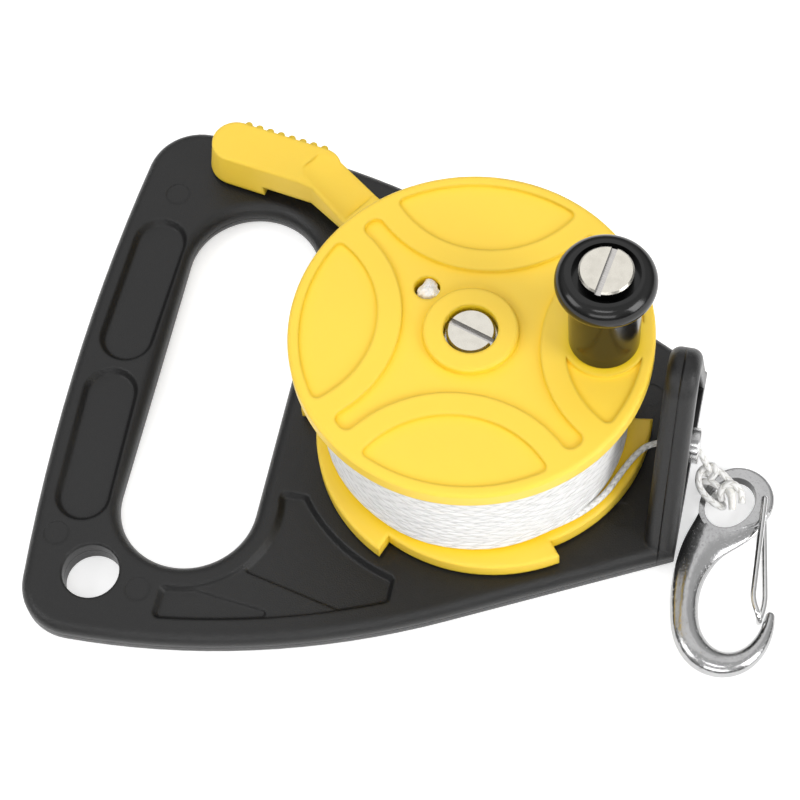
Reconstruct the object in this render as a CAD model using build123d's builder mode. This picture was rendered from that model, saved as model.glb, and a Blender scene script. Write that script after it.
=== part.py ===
from build123d import *
import os
from math import cos, pi, radians, sin, sqrt, tan

os.makedirs("parts", exist_ok=True)

# Clearances and overruns
running_gap = 0.05
seat_gap = 0.1
soft_gap = 0.3
overrun = 2.0

# Plate, seen from above: the line guide at +X, the hand grip at -X
plate_thick = 9.0
plate_edge_round = 3.2
plate_end_gap = 12.8
plate_end_half = 30.0
taper_angle = 26.7
taper_length = 67.0
grip_corner_x = -116.4
grip_corner_y = 85.1
grip_bow_x = -122.0
grip_corner_round = 16.0

# Hand opening and the grip's pockets
grip_slot_x = -77.0
grip_slot_width = 40.0
grip_slot_length = 119.5
grip_slot_round = 4.0
grip_pocket_x = -107.9
grip_pocket_y = 26.5
grip_pocket_width = 16.8
grip_pocket_length = 50.5
grip_pocket_tilt = 2.2
pocket_depth = 2.0
pocket_draft = 38.0

# Lanyard hole and ejector marks
lanyard_x = -98.8
lanyard_y = -66.3
lanyard_radius = 8.2
lanyard_edge = 0.8
ejector_radius = 3.6
ejector_depth = 0.15
ejector_places = [(-111.7, -56.7), (-84.0, -69.3), (-106.2, 61.1), (46.0, -21.0), (48.0, 18.3)]

# Web pocket beside the spool: a common shallow level with two deeper fields
web_rim = 6.7
web_slot_wall = 6.5
web_axle_gap = 3.4
web_left_x = -78.2
web_right_x = -12.8
web_top_y = -31.4
web_round = 2.2
band_depth = 1.2
large_field_x = -58.2
large_field_y = -58.4
large_field_angle = -13.0
small_field_x = -45.6
small_field_y = -67.4
small_field_angle = -6.5

# Line guide: an upright arch with a thinner web across the plate's end
guide_thick = 9.0
guide_top_z = 64.0
guide_apex_round = 9.0
guide_edge_round = 3.0
guide_rim = 6.5
guide_web_thick = 4.4
guide_root_depth = 4.0

# Line and its eyelet
line_diameter = 1.8
eyelet_z = 17.5
eyelet_bore_radius = 2.1
eyelet_tube_radius = 3.3
eyelet_flange_radius = 4.6
eyelet_flange_thick = 1.2
eyelet_collar_radius = 5.2
eyelet_collar_proud = 2.1
eyelet_edge = 0.6

# Axle: shoulder bolt, nut and washers
axle_radius = 4.0
axle_thread_radius = 3.0
axle_head_radius = 6.7
axle_head_thick = 3.0
screw_edge = 0.5
axle_slot_angle = -18.9
nut_flats = 10.0
nut_thick = 5.0
nut_recess = 0.2
thrust_washer_radius = 12.0
thrust_washer_thick = 1.1
axle_washer_radius = 7.2
axle_washer_thick = 1.0
slot_width = 1.7
slot_depth = 1.3

# Spool: hub and top flange in one piece, ratchet flange on its spigot
ratchet_thick = 5.3
drum_height = 42.1
flange_thick = 6.1
flange_radius = 50.0
flange_edge = 1.0
hub_radius = 18.0
spigot_radius = 14.0
boss_radius = 13.1
boss_rise = 1.0
boss_edge = 0.8
boss_bore_radius = 7.55
bushing_wall = 2.0
star_angle = 5.0
star_count = 4
star_circle_at = 55.6
star_circle_radius = 36.5
star_inset = 4.8
star_depth = 1.2
star_round = 2.4
lens_circle_radius = 29.8
lens_inset = 3.1
lens_depth = 0.9
lens_round = 1.8
ratchet_proud = 0.8
ratchet_tooth_height = 5.2
ratchet_teeth = 6
ratchet_phase = 8.6
ratchet_edge = 0.6

# Wound line: a plain core and its outer layer
wound_inset = 6.0
winding_turns = 17

# Stopper knot of the line's inner end
knot_hole_x = -14.6
knot_hole_y = 11.7
knot_hole_radius = 3.65
knot_lobe_radius = 1.7
knot_lobes = 3
knot_rise = 0.6

# Crank knob with its screw
crank_inset = 13.9
crank_angle = 6.7
knob_pad_radius = 11.7
knob_base_radius = 9.65
knob_neck_radius = 10.0
knob_rim_radius = 13.5
knob_height = 33.6
knob_rim_tube = 4.15
knob_recess_radius = 9.1
knob_recess_depth = 3.0
knob_lip = 0.25
knob_head_radius = 7.3
knob_head_thick = 4.6
knob_slot_angle = 81.8
knob_washer_radius = 8.5
knob_washer_thick = 0.4
insert_radius = 4.6

# Lock lever: pad, arm, pivot and pawl
pad_top_z = 22.0
pad_bottom_z = 10.5
pad_width = 14.0
pivot_angle = 125.6773
pivot_gap = 15.7368
pad_angle = -10.0
pad_length = 27.6
skirt_length = 12.0
arm_angle = -34.1
arm_length = 29.0
arm_width = 12.1
arm_bottom_z = 13.8
lever_draft = 8.0
lever_edge = 0.7
lever_wall = 2.2
bend_angle = -42.6
slope_length = 17.0
slope_drop = 4.0
valley_radius = 14.0
valley_depth = 0.8
rib_count = 8
rib_pitch = 3.6
rib_radius = 1.2
rib_start = 1.5
lever_hub_radius = 8.0
lever_hub_top_z = 17.0
pivot_post_radius = 3.4
pivot_seat_radius = 7.2
pivot_seat_rise = 1.0
pawl_inner_gap = 1.8
pawl_depth = 7.4
pawl_start_angle = 99.4
pawl_end_angle = 125.0
pawl_nose_gap = 0.45
pawl_nose_angle = 104.5
pawl_nose_bottom_z = 11.0
lever_screw_radius = 1.5
lever_screw_head_radius = 4.0
lever_screw_head_thick = 2.4
lever_washer_radius = 5.6
lever_washer_thick = 0.6

# Torsion spring of the lever
spring_wire_radius = 0.35
spring_radius = 5.0
spring_turns = 2
spring_pitch = 1.12
spring_leg = 10.0
spring_stop_radius = 1.2
nub_at = 8.5
nub_gap = 1.0

# Snap hook, lying flat beside the guide: spine points, widths and thicknesses along it
hook_z = 3.6
hook_head_x = 78.1
hook_head_y = -7.8
hook_head_radius = 9.9
hook_head_thick = 3.4
hook_head_round = 1.2
hook_eye_rim = 1.6
hook_eye_wall = 0.9
hook_eye_x = 75.7
hook_eye_y = -10.0
hook_eye_long = 8.5
hook_eye_short = 6.5
hook_eye_angle = 62.0
hook_spine = [
    (77.3, -10.8),
    (74.2, -17.6),
    (70.9, -23.2),
    (68.6, -29.8),
    (67.6, -37.0),
    (68.1, -44.6),
    (70.6, -52.6),
    (75.2, -57.4),
    (81.0, -58.7),
    (86.4, -56.4),
    (90.0, -51.6),
    (91.6, -46.4),
    (91.9, -42.0),
]
hook_widths = [19.6, 15.8, 12.6, 10.2, 8.6, 7.9, 8.2, 8.2, 7.4, 6.2, 4.9, 3.8, 2.7]
hook_thicks = [3.2, 3.6, 4.8, 6.0, 6.6, 6.8, 6.6, 6.4, 6.0, 5.4, 4.6, 3.6, 2.7]

# Wire gate of the hook
gate_wire_radius = 0.9
gate_pivot_x = 85.2
gate_pivot_y = -6.9
gate_pin_depth = 1.2
gate_upper_x = 86.3
gate_upper_y = -38.8
gate_lower_x = 90.0
gate_lower_y = -37.2
gate_nose_x = 89.0
gate_nose_y = -44.0

# Free line from the winding through the eyelet to the hook: chosen route points
lead_points = [
    (35.2, -29.0, 16.8),
    (38.9, -25.0, 16.8),
    (42.0, -20.0, 16.8),
    (44.7, -14.3, 16.9),
    (47.0, -8.4, 17.1),
    (50.0, -3.2, 17.3),
    (54.5, -0.4, 17.4),
    (60.0, 0.0, 17.5),
    (65.2, -0.4, 16.9),
    (68.0, -1.9, 13.6),
    (69.4, -3.2, 10.6),
]
loop_points = [
    (70.4, -4.6, 8.8),
    (71.9, -5.9, 8.2),
    (74.3, -8.2, 6.4),
    (74.6, -8.5, 3.2),
    (72.6, -6.8, 0.96),
    (66.6, -1.6, 0.96),
    (65.6, -0.8, 4.2),
    (66.2, -1.4, 7.2),
    (67.8, -2.2, 8.4),
]
bight_points = [
    (68.2, -4.0, 9.4),
    (66.6, -5.0, 8.6),
    (66.2, -7.4, 7.6),
    (68.0, -10.2, 7.0),
    (71.2, -11.9, 6.6),
    (74.4, -12.4, 5.6),
]
tie_knot_x = 69.2
tie_knot_y = -3.3
tie_knot_z = 9.1
tie_knot_radius = 2.7

# Share of the shorter run that each corner's arc takes along a route
route_share = 0.45

# Levels and places that follow from the sizes above
spool_bottom_z = plate_thick + thrust_washer_thick + seat_gap
drum_bottom_z = spool_bottom_z + ratchet_thick
flange_bottom_z = drum_bottom_z + drum_height
flange_top_z = flange_bottom_z + flange_thick
boss_top_z = flange_top_z + boss_rise
line_radius = line_diameter / 2
ratchet_tip_radius = flange_radius + ratchet_proud
ratchet_root_radius = ratchet_tip_radius - ratchet_tooth_height
crank_radius = flange_radius - crank_inset
star_tip_radius = flange_radius - star_inset
lens_outer_radius = flange_radius - lens_inset
wound_radius = flange_radius - wound_inset
pawl_inner_radius = ratchet_tip_radius + pawl_inner_gap
pawl_outer_radius = pawl_inner_radius + pawl_depth
pawl_nose_radius = ratchet_tip_radius + pawl_nose_gap
pivot_radius = ratchet_tip_radius + pivot_gap
plate_end_x = flange_radius + plate_end_gap
web_axle_radius = flange_radius + web_axle_gap
core_radius = wound_radius - line_diameter - running_gap
guide_x = plate_end_x - guide_thick / 2
bushing_radius = axle_radius + bushing_wall
axle_head_z = flange_top_z - axle_head_thick
axle_washer_z = axle_head_z - axle_washer_thick - running_gap
crank_x = crank_radius * cos(radians(crank_angle))
crank_y = crank_radius * sin(radians(crank_angle))
knob_base_z = flange_top_z + knob_washer_thick + 2 * running_gap
knob_top_z = knob_base_z + knob_height
pivot_x = pivot_radius * cos(radians(pivot_angle))
pivot_y = pivot_radius * sin(radians(pivot_angle))
bend_x = pivot_x - arm_length * cos(radians(arm_angle))
bend_y = pivot_y - arm_length * sin(radians(arm_angle))
pad_end_x = bend_x - pad_length * cos(radians(pad_angle))
pad_end_y = bend_y - pad_length * sin(radians(pad_angle))
pivot_seat_z = plate_thick + pivot_seat_rise
pivot_post_z = lever_hub_top_z + running_gap
slot_end_y = grip_slot_length / 2 - grip_slot_width / 2
nub_side = spring_radius - spring_wire_radius - nub_gap - spring_stop_radius
stop_side = spring_radius - spring_wire_radius - seat_gap - spring_stop_radius


def turn_point(radius, pitch, angle, base, start):
    """Point of a rising coil about the upright axis through a base point."""
    rise = pitch * (angle - start) / (2 * pi)
    return base + Vector(radius * cos(angle), radius * sin(angle), rise)


def turn_way(radius, pitch, angle):
    """Direction of a rising coil at an angle."""
    return Vector(-radius * sin(angle), radius * cos(angle), pitch / (2 * pi)).normalized()


def coil_path(radius, pitch, turns, base, start, lead_in, lead_out):
    """Quarter turns of a coil, each two tangent arcs, between straight ends."""
    quarter = pi / 2
    first = turn_point(radius, pitch, start, base, start)
    first_way = turn_way(radius, pitch, start)
    Line(first - first_way * lead_in, first)
    for step in range(4 * turns):
        angle = start + step * quarter
        begin = turn_point(radius, pitch, angle, base, start)
        end = turn_point(radius, pitch, angle + quarter, base, start)
        begin_way = turn_way(radius, pitch, angle)
        end_way = turn_way(radius, pitch, angle + quarter)
        span = end - begin
        bend = 2 * (begin_way.dot(end_way) - 1)
        along = span.dot(begin_way + end_way)
        reach = (along - sqrt(along * along - bend * span.dot(span))) / bend
        first_corner = begin + begin_way * reach
        last_corner = end - end_way * reach
        middle = (first_corner + last_corner) * 0.5
        TangentArc(begin, middle, tangent=begin_way)
        TangentArc(middle, end, tangent=last_corner - first_corner)
    last_angle = start + turns * 2 * pi
    last = turn_point(radius, pitch, last_angle, base, start)
    last_way = turn_way(radius, pitch, last_angle)
    Line(last, last + last_way * lead_out)


def route_radii(points):
    """One radius for each corner of a route, from the shorter run beside it."""
    radii = []
    for before, corner, after in zip(points, points[1:], points[2:]):
        run_in = Vector(*corner) - Vector(*before)
        run_out = Vector(*after) - Vector(*corner)
        turn = radians(run_in.get_angle(run_out))
        shorter = min(run_in.length, run_out.length)
        radii.append(route_share * shorter / tan(turn / 2))
    return radii


def route_tube(points, radius):
    """Tube along a route of straight runs joined by tangent arcs, in the open part block."""
    with BuildLine() as route:
        FilletPolyline(*points, radius=route_radii(points))
    with BuildSketch(Plane(origin=route.line @ 0, z_dir=route.line % 0)) as ring:
        Circle(radius)
    sweep(ring.sketch, path=route.line)
    print("route radii", [round(value, 1) for value in route_radii(points)])


def plate_face():
    """Outline of the plate: tapered sides and a bowed grip end with rounded corners."""
    way_x = cos(radians(taper_angle))
    way_y = sin(radians(taper_angle))
    turn_x = plate_end_x - taper_length * way_x
    turn_y = plate_end_half + taper_length * way_y
    with BuildSketch() as outline:
        with BuildLine():
            Line((plate_end_x, plate_end_half), (plate_end_x, -plate_end_half))
            Line((plate_end_x, -plate_end_half), (turn_x, -turn_y))
            TangentArc((turn_x, -turn_y), (grip_corner_x, -grip_corner_y), tangent=(-way_x, -way_y))
            ThreePointArc((grip_corner_x, -grip_corner_y), (grip_bow_x, 0), (grip_corner_x, grip_corner_y))
            TangentArc((turn_x, turn_y), (grip_corner_x, grip_corner_y), tangent=(-way_x, way_y))
            Line((turn_x, turn_y), (plate_end_x, plate_end_half))
        make_face()
        fillet(outline.vertices().sort_by(Axis.X)[:2], grip_corner_round)
    return outline.sketch


def keep_above(x, y, angle):
    """Keep what lies to the left of a line through a point of the open sketch."""
    reach = grip_slot_length
    across_x = -reach * sin(radians(angle))
    across_y = reach * cos(radians(angle))
    with Locations(Location((x + across_x, y + across_y, 0), (0, 0, angle))):
        Rectangle(4 * reach, 2 * reach, mode=Mode.INTERSECT)


def web_region():
    """Region of the web pocket: inside the rim, clear of the hand opening and the spool."""
    with BuildSketch() as region:
        add(plate_face())
        offset(amount=-web_rim, mode=Mode.REPLACE)
        with Locations(((web_left_x + web_right_x) / 2, web_top_y - grip_corner_y / 2)):
            Rectangle(web_right_x - web_left_x, grip_corner_y, mode=Mode.INTERSECT)
        Circle(web_axle_radius, mode=Mode.SUBTRACT)
        with Locations((grip_slot_x, -slot_end_y)):
            Circle(grip_slot_width / 2 + web_slot_wall, mode=Mode.SUBTRACT)
    return region.sketch


def cut_slot(top_z, radius, x, y, angle):
    """Driver slot across a screw head of the open part block."""
    slot_align = (Align.CENTER, Align.CENTER, Align.MAX)
    with Locations(Location((x, y, top_z), (0, 0, angle))):
        Box(2 * radius + overrun, slot_width, slot_depth, align=slot_align, mode=Mode.SUBTRACT)


def column(x, y, radius, low_z, high_z, mode=Mode.ADD):
    """Upright cylinder between two levels, in the open part block."""
    foot_align = (Align.CENTER, Align.CENTER, Align.MIN)
    with Locations((x, y, low_z)):
        Cylinder(radius, high_z - low_z, align=foot_align, mode=mode)


def arch_face(inset):
    """Outline of the guide, in its own plane, drawn in by an inset."""
    with BuildSketch() as arch:
        with Locations((0, guide_top_z - guide_apex_round)):
            Circle(guide_apex_round)
        with Locations((0, plate_thick - guide_root_depth / 2)):
            Rectangle(2 * plate_end_half, guide_root_depth)
        make_hull()
        if inset:
            offset(amount=-inset, mode=Mode.REPLACE)
    return arch.sketch


# Line guide, joined to the plate below
with BuildPart() as guide:
    with BuildSketch(Plane.YZ.offset(plate_end_x - guide_thick)):
        add(arch_face(0))
    extrude(amount=guide_thick)
    rim_edges = guide.edges().filter_by(lambda e: e.center().Z > plate_thick - guide_root_depth / 2)
    fillet(rim_edges.group_by(Axis.X)[0] + rim_edges.group_by(Axis.X)[-1], guide_edge_round)
    for face_x, way in ((plate_end_x, -1), (plate_end_x - guide_thick, 1)):
        with BuildSketch(Plane.YZ.offset(face_x)):
            add(arch_face(guide_rim))
        extrude(amount=way * (guide_thick - guide_web_thick) / 2, mode=Mode.SUBTRACT)
    with BuildSketch(Plane.YZ.offset(guide_x)):
        with Locations((0, eyelet_z)):
            Circle(eyelet_tube_radius + running_gap)
    extrude(amount=guide_thick, both=True, mode=Mode.SUBTRACT)

# Frame: plate with the guide, the lever's post and the spring's stop
with BuildPart() as frame:
    with BuildSketch():
        add(plate_face())
    extrude(amount=plate_thick)
    fillet(frame.edges().group_by(Axis.Z)[0] + frame.edges().group_by(Axis.Z)[-1], plate_edge_round)
    with BuildSketch():
        with Locations((grip_slot_x, 0)):
            SlotOverall(grip_slot_length, grip_slot_width, rotation=90)
    extrude(amount=plate_thick, mode=Mode.SUBTRACT)
    slot_rim = frame.edges(Select.LAST)
    fillet(slot_rim.group_by(Axis.Z)[0] + slot_rim.group_by(Axis.Z)[-1], grip_slot_round)
    add(guide.part)
    for side in (1, -1):
        with BuildSketch(Plane.XY.offset(plate_thick)):
            pocket_turn = (0, 0, 90 - side * grip_pocket_tilt)
            with Locations(Location((grip_pocket_x, side * grip_pocket_y, 0), pocket_turn)):
                SlotOverall(grip_pocket_length, grip_pocket_width)
        extrude(amount=-pocket_depth, taper=pocket_draft, mode=Mode.SUBTRACT)
    with BuildSketch(Plane.XY.offset(plate_thick)) as band:
        add(web_region())
        fillet(band.vertices(), web_round)
    extrude(amount=-band_depth, taper=pocket_draft, mode=Mode.SUBTRACT)
    with BuildSketch(Plane.XY.offset(plate_thick)) as large_field:
        add(web_region())
        keep_above(large_field_x, large_field_y, large_field_angle)
        fillet(large_field.vertices(), web_round)
    extrude(amount=-pocket_depth, taper=pocket_draft, mode=Mode.SUBTRACT)
    with BuildSketch(Plane.XY.offset(plate_thick)) as small_field:
        add(web_region())
        keep_above(small_field_x, small_field_y, small_field_angle + 180)
        keep_above(small_field_x, small_field_y, 90)
        fillet(small_field.vertices(), web_round)
    extrude(amount=-pocket_depth, taper=pocket_draft, mode=Mode.SUBTRACT)
    column(lanyard_x, lanyard_y, lanyard_radius, 0, plate_thick, Mode.SUBTRACT)
    lanyard_rim = frame.edges(Select.LAST)
    fillet(lanyard_rim.group_by(Axis.Z)[0] + lanyard_rim.group_by(Axis.Z)[-1], lanyard_edge)
    for place in ejector_places:
        column(*place, ejector_radius, plate_thick - ejector_depth, plate_thick, Mode.SUBTRACT)
    column(pivot_x, pivot_y, pivot_seat_radius, plate_thick - seat_gap, pivot_seat_z)
    column(pivot_x, pivot_y, pivot_post_radius, plate_thick, pivot_post_z)
    column(pivot_x, pivot_y, lever_screw_radius + running_gap, plate_thick, pivot_post_z, Mode.SUBTRACT)
    stop_x = pivot_x + nub_at * cos(radians(arm_angle)) + stop_side * sin(radians(arm_angle))
    stop_y = pivot_y + nub_at * sin(radians(arm_angle)) - stop_side * cos(radians(arm_angle))
    column(stop_x, stop_y, spring_stop_radius, plate_thick, arm_bottom_z - soft_gap)
    column(0, 0, axle_thread_radius + running_gap, 0, plate_thick, Mode.SUBTRACT)
    with BuildSketch():
        RegularPolygon(nut_flats / 2 + seat_gap, 6, major_radius=False)
    extrude(amount=nut_recess + nut_thick, mode=Mode.SUBTRACT)
frame.part.label = "frame"
export_step(frame.part, "parts/frame.step")

# Eyelet of the guide: tube with an inner flange and an outer collar
with BuildPart() as line_eyelet:
    web_in = guide_x - guide_web_thick / 2
    web_out = guide_x + guide_web_thick / 2
    flange_in = web_in - eyelet_flange_thick
    collar_out = plate_end_x + eyelet_collar_proud
    with BuildSketch(Plane.XZ) as eyelet_half:
        with BuildLine():
            Polyline(
                (flange_in, eyelet_z + eyelet_bore_radius),
                (flange_in, eyelet_z + eyelet_flange_radius),
                (web_in, eyelet_z + eyelet_flange_radius),
                (web_in, eyelet_z + eyelet_tube_radius),
                (web_out, eyelet_z + eyelet_tube_radius),
                (web_out, eyelet_z + eyelet_collar_radius),
                (collar_out, eyelet_z + eyelet_collar_radius),
                (collar_out, eyelet_z + eyelet_bore_radius),
                close=True,
            )
        make_face()
    revolve(axis=Axis((0, 0, eyelet_z), (1, 0, 0)))
    ends = line_eyelet.edges().group_by(Axis.X)
    fillet(ends[0] + ends[-1], eyelet_edge - running_gap)
line_eyelet.part.label = "line_eyelet"
export_step(line_eyelet.part, "parts/line_eyelet.step")

# Axle bolt: shoulder clamps on the plate, thread goes on into the nut
with BuildPart() as axle_bolt:
    column(0, 0, axle_thread_radius, 0, plate_thick)
    column(0, 0, axle_radius, plate_thick, axle_head_z)
    column(0, 0, axle_head_radius, axle_head_z, flange_top_z)
    chamfer(axle_bolt.edges().group_by(Axis.Z)[-1], screw_edge)
    cut_slot(flange_top_z, axle_head_radius, 0, 0, axle_slot_angle)
axle_bolt.part.label = "axle_bolt"
export_step(axle_bolt.part, "parts/axle_bolt.step")

# Axle nut in the plate's hex pocket
with BuildPart() as axle_nut:
    with BuildSketch(Plane.XY.offset(nut_recess)):
        RegularPolygon(nut_flats / 2, 6, major_radius=False)
        Circle(axle_thread_radius + running_gap, mode=Mode.SUBTRACT)
    extrude(amount=nut_thick)
axle_nut.part.label = "axle_nut"
export_step(axle_nut.part, "parts/axle_nut.step")

# Thrust washer between the plate and the spool
with BuildPart() as thrust_washer:
    column(0, 0, thrust_washer_radius, plate_thick, plate_thick + thrust_washer_thick)
    column(0, 0, axle_radius + running_gap, plate_thick, plate_thick + thrust_washer_thick, Mode.SUBTRACT)
thrust_washer.part.label = "thrust_washer"
export_step(thrust_washer.part, "parts/thrust_washer.step")

# Washer under the axle bolt's head
with BuildPart() as axle_washer:
    column(0, 0, axle_washer_radius, axle_washer_z, axle_washer_z + axle_washer_thick)
    column(0, 0, axle_radius + running_gap, axle_washer_z, axle_washer_z + axle_washer_thick, Mode.SUBTRACT)
axle_washer.part.label = "axle_washer"
export_step(axle_washer.part, "parts/axle_washer.step")

# Spool: hub tube with its spigot, top flange, star recess and lens pockets
seat_z = axle_washer_z - seat_gap
with BuildPart() as spool:
    column(0, 0, flange_radius, flange_bottom_z, flange_top_z)
    fillet(spool.edges().filter_by(GeomType.CIRCLE), flange_edge)
    column(0, 0, spigot_radius, spool_bottom_z, drum_bottom_z)
    column(0, 0, hub_radius, drum_bottom_z, flange_bottom_z)
    with BuildSketch(Plane.XY.offset(flange_top_z)) as star:
        Circle(star_tip_radius)
        with PolarLocations(star_circle_at, star_count, star_angle):
            Circle(star_circle_radius, mode=Mode.SUBTRACT)
        fillet(star.vertices(), star_round)
        Circle(boss_radius, mode=Mode.SUBTRACT)
    extrude(amount=-star_depth, mode=Mode.SUBTRACT)
    for quarter_turn in range(star_count):
        lens_angle = star_angle + quarter_turn * 360 / star_count
        lens_x = star_circle_at * cos(radians(lens_angle))
        lens_y = star_circle_at * sin(radians(lens_angle))
        with BuildSketch(Plane.XY.offset(flange_top_z)) as lens:
            with Locations((lens_x, lens_y)):
                Circle(lens_circle_radius)
            Circle(lens_outer_radius, mode=Mode.INTERSECT)
            fillet(lens.vertices(), lens_round)
            with Locations((crank_x, crank_y)):
                Circle(knob_pad_radius, mode=Mode.SUBTRACT)
        extrude(amount=-lens_depth, mode=Mode.SUBTRACT)
    column(0, 0, boss_radius, flange_top_z - star_depth, boss_top_z)
    fillet(spool.edges().group_by(Axis.Z)[-1], boss_edge)
    column(0, 0, boss_bore_radius, seat_z, boss_top_z, Mode.SUBTRACT)
    column(0, 0, bushing_radius + running_gap, spool_bottom_z, seat_z, Mode.SUBTRACT)
    column(crank_x, crank_y, insert_radius + running_gap, flange_bottom_z, flange_top_z, Mode.SUBTRACT)
    column(knot_hole_x, knot_hole_y, knot_hole_radius, flange_bottom_z, flange_top_z, Mode.SUBTRACT)
spool.part.label = "spool"
export_step(spool.part, "parts/spool.step")

# Bushing pressed into the hub, turning on the bolt's shoulder
with BuildPart() as spool_bushing:
    column(0, 0, bushing_radius, spool_bottom_z, seat_z)
    column(0, 0, axle_radius + running_gap, spool_bottom_z, seat_z, Mode.SUBTRACT)
spool_bushing.part.label = "spool_bushing"
export_step(spool_bushing.part, "parts/spool_bushing.step")

# Ratchet flange: saw teeth that rise steadily and drop on a radial face
with BuildPart() as ratchet_flange:
    with BuildSketch(Plane.XY.offset(spool_bottom_z)):
        with BuildLine():
            for tooth in range(ratchet_teeth):
                step = 2 * pi / ratchet_teeth
                tip = radians(ratchet_phase) + (tooth + 1) * step
                root = tip - step
                middle_radius = (ratchet_tip_radius + ratchet_root_radius) / 2
                low = (ratchet_root_radius * cos(root), ratchet_root_radius * sin(root))
                half = (middle_radius * cos(root + step / 2), middle_radius * sin(root + step / 2))
                high = (ratchet_tip_radius * cos(tip), ratchet_tip_radius * sin(tip))
                foot = (ratchet_root_radius * cos(tip), ratchet_root_radius * sin(tip))
                ThreePointArc(low, half, high)
                Line(high, foot)
        make_face()
        Circle(spigot_radius + running_gap, mode=Mode.SUBTRACT)
    extrude(amount=ratchet_thick)
    chamfer(ratchet_flange.faces().sort_by(Axis.Z)[-1].outer_wire().edges(), ratchet_edge)
ratchet_flange.part.label = "ratchet_flange"
export_step(ratchet_flange.part, "parts/ratchet_flange.step")

# Inner layers of the line, as one plain drum
with BuildPart() as line_core:
    column(0, 0, core_radius, drum_bottom_z + seat_gap, flange_bottom_z - seat_gap)
    column(0, 0, hub_radius + running_gap, drum_bottom_z, flange_bottom_z, Mode.SUBTRACT)
line_core.part.label = "line_core"
export_step(line_core.part, "parts/line_core.step")

# Outer layer of the line: one unbroken tube wound over the core
winding_radius = wound_radius - line_radius
winding_rise = drum_height - line_diameter - 2 * seat_gap
winding_pitch = winding_rise / winding_turns
winding_base = Vector(0, 0, drum_bottom_z + seat_gap + line_radius)
with BuildPart() as line_winding:
    with BuildLine() as winding_line:
        ends = line_diameter
        coil_path(winding_radius, winding_pitch, winding_turns, winding_base, 0, ends, ends)
    with BuildSketch(Plane(origin=winding_line.line @ 0, z_dir=winding_line.line % 0)):
        Circle(line_radius)
    sweep(path=winding_line.line)
line_winding.part.label = "line_winding"
export_step(line_winding.part, "parts/line_winding.step")

# Melted stopper knot of the line's inner end
with BuildPart() as line_end_knot:
    knot_base_z = flange_bottom_z + seat_gap
    knot_top_z = flange_top_z - star_depth + knot_rise - knot_lobe_radius
    lobe_at = knot_hole_radius - knot_lobe_radius - seat_gap
    for lobe in range(knot_lobes):
        lobe_angle = 2 * pi * lobe / knot_lobes
        lobe_x = knot_hole_x + lobe_at * cos(lobe_angle)
        lobe_y = knot_hole_y + lobe_at * sin(lobe_angle)
        column(lobe_x, lobe_y, knot_lobe_radius, knot_base_z, knot_top_z)
        with Locations((lobe_x, lobe_y, knot_top_z)):
            Sphere(knot_lobe_radius)
line_end_knot.part.label = "line_end_knot"
export_step(line_end_knot.part, "parts/line_end_knot.step")

# Crank knob: neck, full round rim and a recess for the screw's head
with BuildPart() as crank_knob:
    recess_z = knob_top_z - knob_recess_depth
    rim_z = knob_top_z - knob_rim_tube
    rim_ring = knob_rim_radius - knob_rim_tube
    with BuildSketch(Plane(origin=(crank_x, crank_y, 0), x_dir=(1, 0, 0), z_dir=(0, -1, 0))) as knob_half:
        with BuildLine():
            Polyline(
                (axle_radius + running_gap, knob_base_z),
                (knob_base_radius, knob_base_z),
                (knob_neck_radius, rim_z),
                (rim_ring, rim_z),
                (rim_ring, knob_top_z),
                (knob_recess_radius, knob_top_z),
                (knob_recess_radius, recess_z),
                (axle_radius + running_gap, recess_z),
                close=True,
            )
        make_face()
        lip_corner = knob_half.vertices().sort_by(Axis.Y)[-2:].sort_by(Axis.X)[0]
        fillet(lip_corner, knob_lip)
        with Locations((rim_ring, rim_z)):
            Circle(knob_rim_tube)
        with Locations((0, recess_z)):
            Rectangle(knob_recess_radius, knob_rim_tube * 2, align=Align.MIN, mode=Mode.SUBTRACT)
    revolve(axis=Axis((crank_x, crank_y, 0), (0, 0, 1)))
crank_knob.part.label = "crank_knob"
export_step(crank_knob.part, "parts/crank_knob.step")

# Knob washer, screw and the threaded insert in the flange
with BuildPart() as knob_washer:
    column(crank_x, crank_y, knob_washer_radius, flange_top_z + running_gap, knob_base_z - running_gap)
    column(crank_x, crank_y, axle_radius + running_gap, flange_top_z, knob_base_z, Mode.SUBTRACT)
knob_washer.part.label = "knob_washer"
export_step(knob_washer.part, "parts/knob_washer.step")

with BuildPart() as knob_screw:
    knob_head_z = recess_z + seat_gap
    column(crank_x, crank_y, axle_thread_radius, flange_bottom_z + seat_gap, flange_top_z)
    column(crank_x, crank_y, axle_radius, flange_top_z, knob_head_z)
    column(crank_x, crank_y, knob_head_radius, knob_head_z, knob_head_z + knob_head_thick)
    chamfer(knob_screw.edges().group_by(Axis.Z)[-1], screw_edge)
    cut_slot(knob_head_z + knob_head_thick, knob_head_radius, crank_x, crank_y, knob_slot_angle)
knob_screw.part.label = "knob_screw"
export_step(knob_screw.part, "parts/knob_screw.step")

with BuildPart() as knob_insert:
    column(crank_x, crank_y, insert_radius, flange_bottom_z + seat_gap, flange_top_z)
    column(crank_x, crank_y, axle_thread_radius + running_gap, flange_bottom_z, flange_top_z, Mode.SUBTRACT)
knob_insert.part.label = "knob_insert"
export_step(knob_insert.part, "parts/knob_insert.step")

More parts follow.
